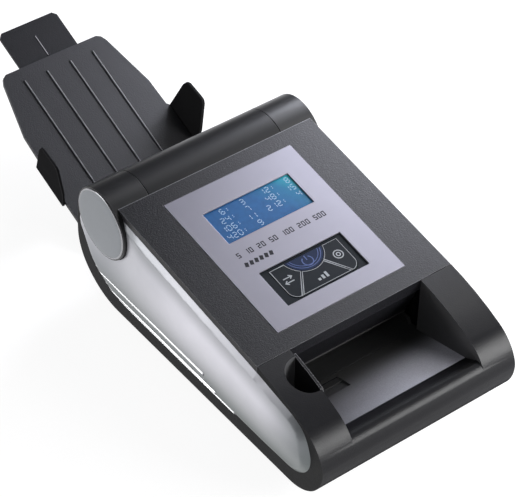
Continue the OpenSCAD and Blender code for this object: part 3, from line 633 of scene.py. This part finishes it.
def panel_out(y, z, rim, top):
    """How far the panel's skin stands out of the case's side at a (y, z) point."""
    d = min(distance_to((y, z), rim) / EDGE_W, 1)
    up = limit((z - panel_low.z) / (lid_edge_z(y) - panel_low.z))
    off_barrel = limit(off_axis(y, z) / BARREL_EDGE - 1)
    crown = CROWN * math.sin(math.pi * up) ** 2 * off_barrel ** 0.7
    dish = 0.45 + 0.55 * limit((off_axis(y, z) - BARREL_EDGE) / (12 * MM))
    crease = math.exp(-(((distance_to((y, z), top) - 1.3 * EDGE_W) / (1.0 * MM)) ** 2))
    # The chamfer is flat along the lid and rounds off towards the front tip
    chamfer = min(d / 0.8, 1.0)
    flat = limit((y - panel_low.y) / (34 * MM))
    chamfer = flat * chamfer + (1 - flat) * (1 - (1 - d) ** 2.2)
    return EDGE_OUT * chamfer * dish * (0.55 + 0.45 * flat) + crown * d - 0.2 * MM * crease * flat


def side_panel(side, word):
    """Builds a crowned panel over the CAD's flat one, and returns its skin for the ledges."""
    node = "side_panel_" + word
    low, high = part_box(node)
    face_x = high.x if side > 0 else low.x
    outline = outline_at(node, face_x)
    count = len(outline)
    near = [off_axis(y, z) < 22.2 * MM for y, z in outline]
    start = next(i for i in range(count) if near[i - 1] and not near[i])
    rim = [outline[(start + i) % count] for i in range(-1, count - near.count(True) + 1)]
    top = [p for p in rim if p[1] > lid_edge_z(p[0]) - 5 * MM and p[0] > seam_at.y - 2 * MM]
    # Past the barrel's edge, the sheet runs on inside the barrel, which then cuts it
    ends = [Vector(a) + (Vector(a) - Vector(b)).normalized() * 6 * MM
            for a, b in ((rim[0], rim[1]), (rim[-1], rim[-2]))]
    sheet = [tuple(ends[0])] + rim[1:-1] + [tuple(ends[1])]
    bm = bmesh.new()
    core = bm.faces.new([bm.verts.new((0, y, z)) for y, z in sheet])
    for step in (0.06, 0.1, 0.14, 0.16, 0.18, 0.18, 0.18, 0.2, 0.2, 0.2):
        bmesh.ops.inset_region(bm, faces=[core], thickness=step * EDGE_W, use_even_offset=True,
                               use_boundary=True)
    for axis, spacing in ((1, 3 * MM), (2, 2.5 * MM)):
        at = min(p[axis - 1] for p in sheet) + spacing
        while at < max(p[axis - 1] for p in sheet):
            normal = Vector((0, 1, 0)) if axis == 1 else Vector((0, 0, 1))
            bmesh.ops.bisect_plane(bm, geom=bm.verts[:] + bm.edges[:] + bm.faces[:],
                                   plane_co=normal * at, plane_no=normal, dist=1e-6)
            at += spacing
    skin_x = abs(face_x) - 0.7 * MM
    edge = [e for e in bm.edges if len(e.link_faces) == 1]
    back = bmesh.ops.extrude_edge_only(bm, edges=edge)["geom"]
    back_verts = {v for v in back if isinstance(v, bmesh.types.BMVert)}
    for v in bm.verts:
        if v in back_verts:
            v.co.x = side * (skin_x - 1.4 * MM)
        else:
            v.co.x = side * (skin_x + panel_out(v.co.y, v.co.z, rim, top))
    cutter = bmesh.new()
    lathe(cutter, [(0, -0.08), (BARREL_CUT, -0.08), (BARREL_CUT, 0.08), (0, 0.08)], 128)
    tool = make("barrel_tool", cutter, "root", "panel",
                Matrix.Translation(hinge_at))
    panel = make("panel_skin_" + word, bm, "root", "panel")
    cut = panel.modifiers.new("cut", "BOOLEAN")
    cut.object = tool
    cut.solver = "EXACT"
    panel.modifiers.move(len(panel.modifiers) - 1, 0)
    bpy.context.view_layer.update()
    cut_mesh = bpy.data.meshes.new_from_object(
        panel.evaluated_get(bpy.context.evaluated_depsgraph_get()))
    bpy.data.objects.remove(tool)
    panel.modifiers.remove(cut)
    panel.data = cut_mesh
    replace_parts(panel, node)
    return BVHTree.FromPolygons([v.co for v in cut_mesh.vertices],
                                [f.vertices for f in cut_mesh.polygons])


FOOT_H = 3
# Height over the case's underside, back end and front end of each ledge, in mm
LEDGES = ((21.2, 143.4, 41.4), (14.8, 134.5, 31.6), (11.0, 122.0, 16.8))


def skin_along(skin, side, y_values, z_values):
    """The skin's distance from the middle plane at each (y, z) point, evened out along the line."""
    found = []
    for y, z in zip(y_values, z_values):
        hit = skin.ray_cast(Vector((side * 0.1, y, z)), Vector((-side, 0, 0)))[0]
        if hit is None:
            hit = skin.find_nearest(Vector((side * 0.066, y, z)))[0]
        found.append(abs(hit.x))
    evened = []
    for k in range(len(found)):
        near = found[max(0, k - 3):k + 4]
        evened.append(sum(near) / len(near))
    return evened


def sweep(bm, rows):
    """A closed tube through rows of points."""
    rows = [[bm.verts.new(p) for p in row] for row in rows]
    for here, there in zip(rows, rows[1:]):
        for i in range(len(here)):
            j = (i + 1) % len(here)
            bm.faces.new((here[i], here[j], there[j], there[i]))
    bm.faces.new(rows[0])
    bm.faces.new(rows[-1])


def ledges(side, word, skin):
    """Bright ledges that lie on the panel's skin and widen towards the front, each over a grey
    strip of painted shadow."""
    bright, under = bmesh.new(), bmesh.new()
    sunk = -0.4 * MM
    proud = 0.15 * MM
    steps = [k / 100 for k in range(101)]
    for height, back, front in LEDGES:
        y_values = [seam_at.y + (back + (front - back) * t) * MM for t in steps]
        halves = [(0.2 + 0.2 * t) * MM for t in steps]
        deeps = [(0.7 + 0.9 * t) * MM for t in steps]
        z = (height + FOOT_H) * MM
        foot = [z - half for half in halves]
        low = [f - deep for f, deep in zip(foot, deeps)]
        outs = skin_along(skin, side, y_values, [z] * len(steps))
        outs_low = skin_along(skin, side, y_values, low)
        sweep(bright, [[(side * (out + dx), y, z + dz) for dx, dz in (
            (sunk, half), (0.05 * MM, half), (0.08 * MM + 1.5 * half, -half), (sunk, -half))]
            for out, y, half in zip(outs, y_values, halves)])
        # Painted shadow: a grey strip laid on the skin under each ledge
        sweep(under, [[(side * x, y, h) for x, h in (
            (out + proud, top_z), (out_low + proud, low_z), (out_low + sunk, low_z),
            (out + sunk, top_z))]
            for out, out_low, y, top_z, low_z in zip(outs, outs_low, y_values, foot, low)])
    piece = make("ledges_" + word, bright, "root", "trim", bevel_mm=0.08)
    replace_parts(piece, "trim_strips_" + word)
    make("ledge_shadow_strips_" + word, under, "root", "ledge_shadow")


for side, word in SIDES:
    ledges(side, word, side_panel(side, word))


# ---- Pale strips on the tray's ribs as a painted highlight, and painted shadow lines at their feet ----

RIBS = (-23.8, -8.1, 8.1, 23.8)
RIB_ENDS = (21.5, 130.5)

for name, look, off, width, low, high, bevel in (("rib_highlights", "crest_highlight", 0.22, 0.3, 0.5, 0.76, 0.1),
                                                 ("rib_shadow_lines", "fence", 0.75, 0.5, -0.2, 0.12, 0)):
    bm = bmesh.new()
    for x in RIBS:
        ribbon(bm, [(x + off, s) for s in RIB_ENDS], width, low, high)
    make(name, bm, "tray", look, TRAY, bevel_mm=bevel)
# Painted highlight along the extension's rib
bm = bmesh.new()
ribbon(bm, [(-0.1, 141), (-0.1, 155.6)], 0.4, -2.6, -2.44)
make("extension_rib_highlight", bm, "extension", "crest_highlight", TRAY, bevel_mm=0.1)


# ---- Discs on the barrel's ends ----

# Profiles in mm: radius and distance from the middle plane
CAP_DISC = ((0, 68.0), (10, 67.97), (16, 67.9), (18.8, 67.78), (19.6, 67.6), (20.2, 67.5),
            (20.5, 67.35), (20.6, 67.2), (20.6, 67.05), (19.0, 67.0), (19.0, 62.0), (17.0, 62.0),
            (17.0, 66.6), (0, 66.6))
CAP_EDGE = ((19.8, 67.62), (20.15, 67.66), (20.5, 67.5), (20.68, 67.25), (20.68, 67.05),
            (20.3, 67.0))


def turned(name, profile, side, look):
    """A piece turned about the barrel's axis."""
    bm = bmesh.new()
    lathe(bm, [(r * MM, side * x * MM) for r, x in profile], 128)
    return make(name, bm, "root", look,
                Matrix.Translation((0, hinge_at.y, hinge_at.z)))


for side, word in SIDES:
    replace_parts(turned("cap_disc_" + word, CAP_DISC, side, "cap"), "end_cap_" + word)
    turned("cap_edge_" + word, CAP_EDGE, side, "edge")


# ---- Display ----

SEGMENTS = {"0": "abcdef", "1": "bc", "2": "abged", "3": "abgcd", "4": "fgbc", "5": "afgcd",
            "6": "afgcde", "7": "abc", "8": "abcdefg", "9": "abcdfg"}
DOT_RUNS = {"a": [(c, 6) for c in range(1, 4)], "g": [(c, 3) for c in range(1, 4)],
            "d": [(c, 0) for c in range(1, 4)], "f": [(0, r) for r in (4, 5)],
            "b": [(4, r) for r in (4, 5)], "e": [(0, r) for r in (1, 2)],
            "c": [(4, r) for r in (1, 2)]}
COLON = [(2, 2), (2, 4)]
ROWS = ("  6:  3   12:  8", " 24:  7   48: 15", "106: 11  212:  4", "420:  9")
window_half = 28.4
window_front = 72.8
window_len = 23.8

bm = bmesh.new()
cell_w = 2 * window_half / 17
cell_h = window_len / 4.3
dot = cell_w / 6.2
for row, text in enumerate(ROWS):
    for column, sign in enumerate(text):
        dots = COLON if sign == ":" else [d for s in SEGMENTS.get(sign, "") for d in DOT_RUNS[s]]
        for c, r in dots:
            x = -window_half + (column + 0.8) * cell_w + c * dot
            s = window_front + window_len - (row + 0.95) * cell_h + r * dot * 1.1
            block(bm, (x, s, -0.71), (x + 0.82 * dot, s + 0.9 * dot, -0.67))
make("display_digits", bm, "lid", "dots", LID)


# ---- Label print: plain numbers and a row of slanted bars ----

STROKES = {"a": (0, 2, 1, 2), "b": (1, 1, 1, 2), "c": (1, 0, 1, 1), "d": (0, 0, 1, 0),
           "e": (0, 0, 0, 1), "f": (0, 1, 0, 2), "g": (0, 1, 1, 1)}
PRINT = (0.28, 0.33)
pitch = 59 / 22
bm = bmesh.new()
for column, sign in enumerate("5 10 20 50 100 200 500"):
    left = -29.6 + column * pitch
    for stroke in SEGMENTS.get(sign, ""):
        x0, s0, x1, s1 = STROKES[stroke]
        block(bm, (left + 1.45 * x0 - 0.28, 62.1 + 1.45 * s0 - 0.28, PRINT[0]),
              (left + 1.45 * x1 + 0.28, 62.1 + 1.45 * s1 + 0.28, PRINT[1]))
for k in range(6):
    x = -30.3 + 3.2 * k
    ribbon(bm, [(x + 0.9, 55.0), (x + 1.9, 57.8)], 2.1, *PRINT)
make("label_print", bm, "lid", "ink", LID)


# ---- Keypad print ----

KEY_TOP = -0.5
KEY_PRINT = (KEY_TOP - 0.03, KEY_TOP + 0.05)
LINE = 0.28
MARK = 0.6
POWER_MARK = 0.55
KEY_X = 0.8
POWER_S = 49.3


def top_outline(node):
    """The (x, s) points round a key's top face, in the lid's plane."""
    bm = bmesh.new()
    bm.from_mesh(nodes[node].data)
    bm.transform(LID.inverted())
    bmesh.ops.remove_doubles(bm, verts=bm.verts, dist=0.002)
    away = [f for f in bm.faces if any(abs(v.co.z - KEY_TOP) > 0.05 for v in f.verts)]
    bmesh.ops.delete(bm, geom=away, context="FACES")
    points = [(v.co.x, v.co.y) for v in walk_rim(bm)]
    bm.free()
    return points


def inset(points, distance):
    """The outline moved inwards by a distance."""
    count = len(points)
    area = sum(points[i][0] * points[(i + 1) % count][1] - points[(i + 1) % count][0] * points[i][1]
               for i in range(count))
    turn = 1 if area > 0 else -1
    moved = []
    for i in range(count):
        p = Vector(points[i])
        a = (p - Vector(points[i - 1])).normalized()
        b = (Vector(points[(i + 1) % count]) - p).normalized()
        na = Vector((-a.y, a.x)) * turn
        nb = Vector((-b.y, b.x)) * turn
        mid = (na + nb).normalized()
        moved.append(tuple(p + mid * distance / max(0.4, mid.dot(na))))
    return moved


for node, body, border in (("key_left", "left_key", 0.36), ("key_middle", "middle_key", 0.5),
                           ("key_right", "right_key", 0.36)):
    bm = bmesh.new()
    ribbon(bm, inset(top_outline(node), border), LINE, *KEY_PRINT, closed=True)
    if node == "key_left":
        # Two arrows, one each way
        for turn in (-1, 1):
            x, s = KEY_X - 16.6, 37.2 + 1.5 * turn
            ribbon(bm, [(x - 2.6, s), (x + 2.6, s)], MARK, *KEY_PRINT)
            tip = (x + 2.9 * turn, s)
            barb = tip[0] - 1.6 * turn
            ribbon(bm, [(barb, s + 1.3), tip, (barb, s - 1.3)], MARK, *KEY_PRINT)
    elif node == "key_middle":
        # Three rising bars
        for k, tall in enumerate((1.6, 2.6, 3.6)):
            x = KEY_X - 3 + 2.6 * k
            block(bm, (x, 28.2, KEY_PRINT[0]), (x + 1.5, 28.2 + tall, KEY_PRINT[1]))
    else:
        # A ring in a ring
        for radius in (2.7, 1.1):
            ribbon(bm, arc((KEY_X + 16.6, 37.4), radius, 0, 345), MARK, *KEY_PRINT, closed=True)
    make(node + "_print", bm, body, "line", LID)

bm = bmesh.new()
ribbon(bm, arc((KEY_X, 42.4), 3.1, 125, 415, 40), POWER_MARK, *KEY_PRINT)
ribbon(bm, [(KEY_X, 43.0), (KEY_X, 46.2)], POWER_MARK, *KEY_PRINT)
for radius in (9.6, 11.0):
    ribbon(bm, arc((KEY_X, POWER_S), radius, 196, 344, 40), 0.35, *KEY_PRINT)
make("power_mark", bm, "power_key", "key_light", LID)


# ---- DC inlet's centre contact ----

low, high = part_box("dc_jack")
contact_at = Vector((-54 * MM, high.y - 9.6 * MM, low.z + 6 * MM))
bm = bmesh.new()
lathe(bm, [(r * MM, x * MM) for r, x in (
    (0, 0), (0.9, 0), (1.0, 0.2), (1.0, 8), (0.6, 8.6), (0, 8.7))], 32)
make("dc_contact", bm, "root", "steel",
     Matrix.Translation(contact_at) @ Matrix.Rotation(math.pi / 2, 4, "Z"))


# ---- Floor, light and camera ----

floor_mesh = bpy.data.meshes.new("floor")
bm = bmesh.new()
bmesh.ops.create_grid(bm, x_segments=4, y_segments=4, size=3)
bm.to_mesh(floor_mesh)
bm.free()
floor = bpy.data.objects.new("floor", floor_mesh)
floor.location.z = -0.0003
bpy.context.scene.collection.objects.link(floor)
paper = Nodes("floor_paper")
paper.set(Roughness=0.9, Specular_IOR_Level=0.1, Emission_Strength=0.90,
          Emission_Color=(1, 1, 1, 1))
paper.link(paper.ramp(paper.noise(60), [(0.2, (0.20, 0.20, 0.202)), (0.8, (0.22, 0.22, 0.222))]),
           paper.shader.inputs["Base Color"])
floor.data.materials.append(paper.material)

AIM = Vector((0, -0.04, 0.05))


def softbox(name, direction, away, size, power, colour=(1, 1, 1)):
    """A rectangular light that faces the object from a direction."""
    light = bpy.data.lights.new(name, "AREA")
    light.shape = "RECTANGLE"
    light.size, light.size_y = size
    light.energy = power
    light.color = colour
    lamp = bpy.data.objects.new(name, light)
    lamp.location = AIM + Vector(direction).normalized() * away
    lamp.rotation_mode = "QUATERNION"
    lamp.rotation_quaternion = (lamp.location - AIM).to_track_quat("Z", "Y")
    bpy.context.scene.collection.objects.link(lamp)


softbox("softbox_right", (0.92, 0.48, 0.46), 0.42, (0.22, 0.30), 3.3, (0.88, 0.90, 1.0))
softbox("softbox_back", (-0.78, 0.57, 0.26), 1.2, (0.6, 0.45), 4.2)
softbox("softbox_front", (0.50, -0.82, 0.31), 0.72, (0.40, 0.36), 5.2)
softbox("softbox_top", (0.45, 0.20, 0.80), 0.5, (0.22, 0.22), 0.22)
softbox("softbox_rim", (0.20, -0.09, 0.24), 0.33, (0.10, 0.16), 0.16)
softbox("softbox_fill", (-0.40, -0.60, 0.70), 1.4, (0.9, 0.9), 1.8)

world = bpy.data.worlds.new("studio")
world.use_nodes = True
sky = world.node_tree.nodes["Background"].inputs
sky["Color"].default_value = (0.95, 0.97, 1.0, 1)
sky["Strength"].default_value = 0.07
bpy.context.scene.world = world
bpy.context.scene.view_settings.view_transform = "Standard"

camera = bpy.data.cameras.new("camera")
camera.sensor_width = 36
camera.lens = 161.8
camera.shift_x = -0.0471
camera.shift_y = 0.01365
camera.clip_start, camera.clip_end = 0.1, 20
eye = bpy.data.objects.new("camera", camera)
eye.location = (-0.583834, -0.783094, 0.916806)
eye.rotation_euler = [math.radians(a) for a in (47.0488, -1.6207, -37.8453)]
bpy.context.scene.collection.objects.link(eye)
bpy.context.scene.camera = eye
